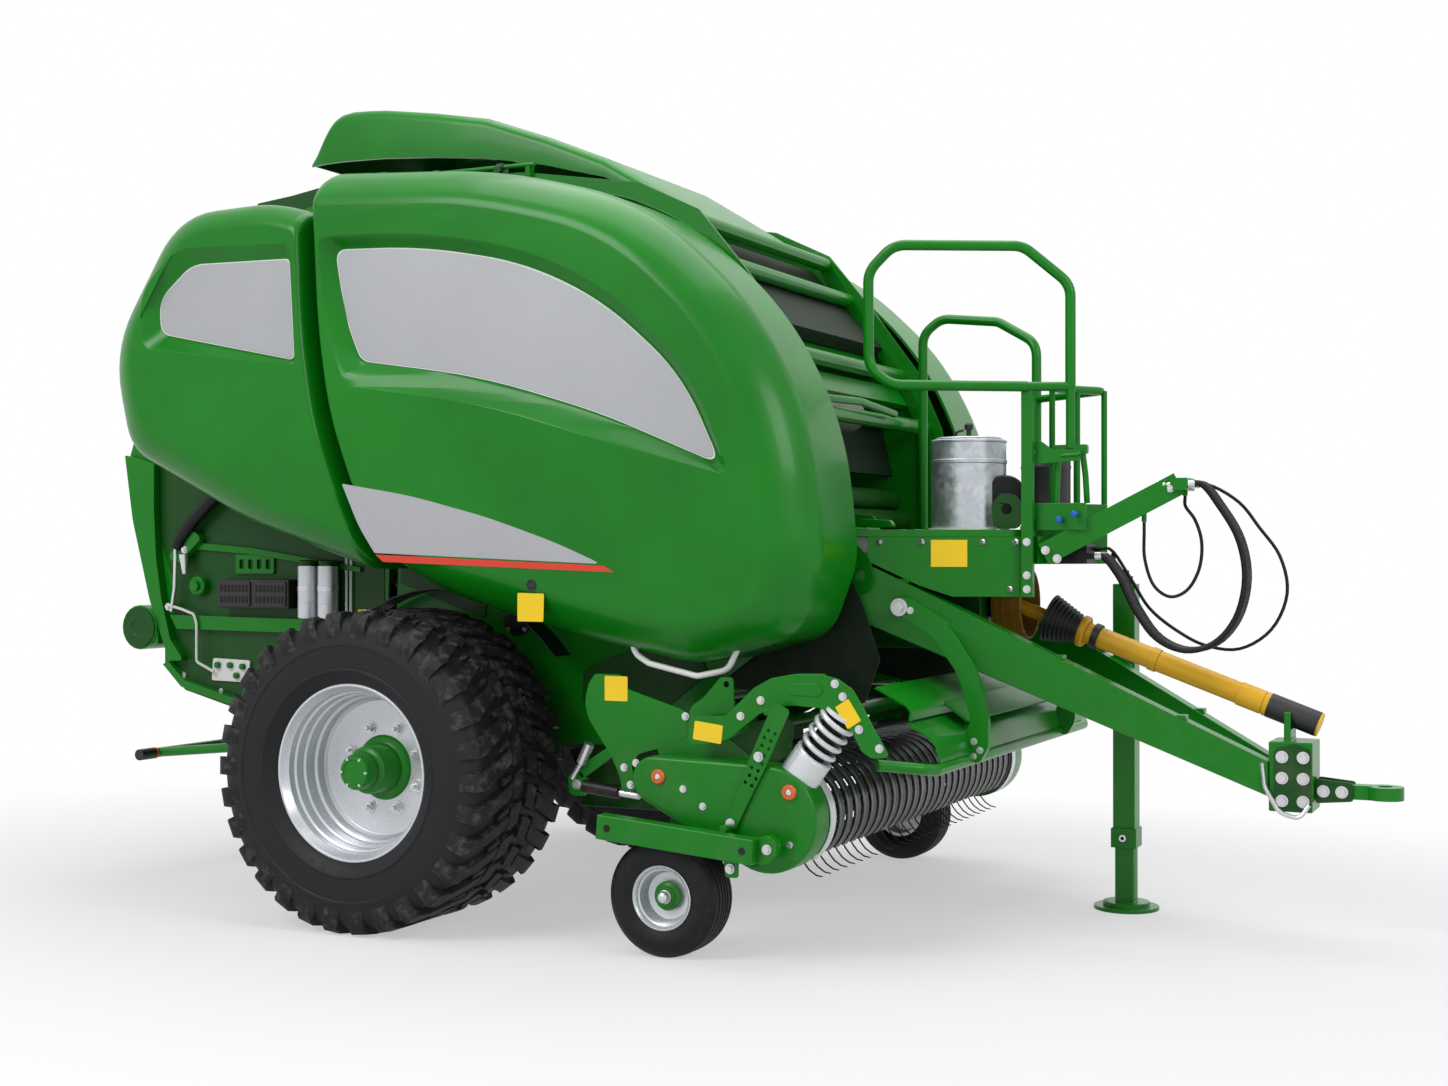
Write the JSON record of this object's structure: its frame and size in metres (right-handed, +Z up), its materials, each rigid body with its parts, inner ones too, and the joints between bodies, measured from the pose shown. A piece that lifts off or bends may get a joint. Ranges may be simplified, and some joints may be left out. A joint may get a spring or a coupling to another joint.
{
  "type": "round baler",
  "caption": "Towed farm machine that gathers cut crop with a tined pickup and rolls it into round bales in a belt chamber behind two wide wheels",
  "frame": {"origin": "on the ground, at the centre of the machine in length and width", "axes": "+X towards the towing eye, +Y to the machine's left, +Z up"},
  "size_m": [5.155, 2.8, 3.233],
  "materials": {
    "green_paint": "gloss green enamel",
    "dark_green_paint": "green enamel in shade",
    "silver_paint": "silver enamel",
    "black_paint": "satin black enamel",
    "galvanised": "zinc coated steel",
    "yellow_plastic": "yellow moulded guard",
    "black_rubber": "black rubber",
    "tyre_rubber": "black tyre rubber"
  },
  "bodies": {
    "chassis": {"axle_beam": "dark_green_paint", "chassis_frame": "dark_green_paint", "hood_stand": "dark_green_paint", "gearbox": "dark_green_paint", "tailgate_pivot_shaft": "galvanised", "towing_eye": "galvanised", "canister": "galvanised", "front_rollers": "galvanised", "gearbox_bell": "yellow_plastic", "hose_1": "black_rubber", "hose_2": "black_rubber", "hose_3": "black_rubber", "hose_4": "black_rubber", "cable_outer": "black_rubber", "cable_inner": "black_rubber", "front_belt_band": "black_rubber", "side_tank": "black_paint", "valve_block": "black_paint", "chamber_wall_right": "green_paint", "chamber_wall_left": "green_paint", "front_frame": "green_paint", "top_hood": "green_paint", "drawbar_beam_right": "green_paint", "drawbar_beam_left": "green_paint", "hitch_head": "green_paint", "jack_sleeve": "green_paint", "platform": "green_paint", "handrail_right": "green_paint", "guard_rails": "green_paint", "hose_arm": "green_paint", "bale_kicker": "green_paint"},
    "wheel_right": {"main_tyre_right": "tyre_rubber", "main_rim_right": "silver_paint"},
    "wheel_left": {"main_tyre_left": "tyre_rubber", "main_rim_left": "silver_paint"},
    "tailgate": {"tailgate_wall_right": "green_paint", "tailgate_wall_left": "green_paint", "tailgate_panel_right": "green_paint", "tailgate_panel_left": "green_paint", "tailgate_cover": "green_paint", "rear_belts": "black_rubber", "rear_rollers": "galvanised", "rear_beam": "green_paint", "filter_cans": "silver_paint", "junction_box": "black_paint"},
    "door_right": {"side_door_right": "green_paint"},
    "door_left": {"side_door_left": "green_paint"},
    "pickup": {"pickup_frame": "green_paint", "stripper_bands": "galvanised", "pickup_guard_right": "green_paint", "pickup_guard_left": "green_paint"},
    "reel": {"tine_reel": "galvanised"},
    "gauge_right": {"gauge_wheel_right": "tyre_rubber"},
    "gauge_left": {"gauge_wheel_left": "tyre_rubber"},
    "guard": {"crop_guard": "green_paint"},
    "jack": {"jack_leg": "green_paint"},
    "shaft": {"drive_shaft": "yellow_plastic", "drive_shaft_cone": "black_rubber"}
  },
  "joints": [
    {"name": "wheel_right_spin", "type": "hinge", "parent": "chassis", "child": "wheel_right", "pos_m": [-0.8875, -1.1, 0.585], "axis": [0, 1, 0], "continuous": true},
    {"name": "wheel_left_spin", "type": "hinge", "parent": "chassis", "child": "wheel_left", "pos_m": [-0.8875, 1.1, 0.585], "axis": [0, 1, 0], "continuous": true},
    {"name": "tailgate_lift", "type": "hinge", "parent": "chassis", "child": "tailgate", "pos_m": [-1.2875, 0, 2.87], "axis": [0, 1, 0], "range_deg": [0, 48]},
    {"name": "door_right_swing", "type": "hinge", "parent": "chassis", "child": "door_right", "pos_m": [-0.5375, -0.658, 2.885], "axis": [-1, 0, 0], "range_deg": [0, 60]},
    {"name": "door_left_swing", "type": "hinge", "parent": "chassis", "child": "door_left", "pos_m": [-0.5375, 0.658, 2.885], "axis": [1, 0, 0], "range_deg": [0, 60]},
    {"name": "pickup_lift", "type": "hinge", "parent": "chassis", "child": "pickup", "pos_m": [0.1625, 0, 0.85], "axis": [0, -1, 0], "range_deg": [0, 12]},
    {"name": "reel_spin", "type": "hinge", "parent": "pickup", "child": "reel", "pos_m": [0.6785, 0, 0.488], "axis": [0, 1, 0], "continuous": true},
    {"name": "gauge_right_spin", "type": "hinge", "parent": "pickup", "child": "gauge_right", "pos_m": [0.3105, -1.1525, 0.206], "axis": [0, 1, 0], "continuous": true},
    {"name": "gauge_left_spin", "type": "hinge", "parent": "pickup", "child": "gauge_left", "pos_m": [0.3105, 1.1525, 0.206], "axis": [0, 1, 0], "continuous": true},
    {"name": "guard_lift", "type": "hinge", "parent": "chassis", "child": "guard", "pos_m": [0.9325, 0, 1.187], "axis": [0, -1, 0], "range_deg": [0, 15]},
    {"name": "jack_slide", "type": "slide", "parent": "chassis", "child": "jack", "axis": [0, 0, 1], "range_m": [0, 0.2]},
    {"name": "shaft_lift", "type": "hinge", "parent": "chassis", "child": "shaft", "pos_m": [1.1725, 0, 1.19], "axis": [0, -1, 0], "range_deg": [0, 10]}
  ]
}
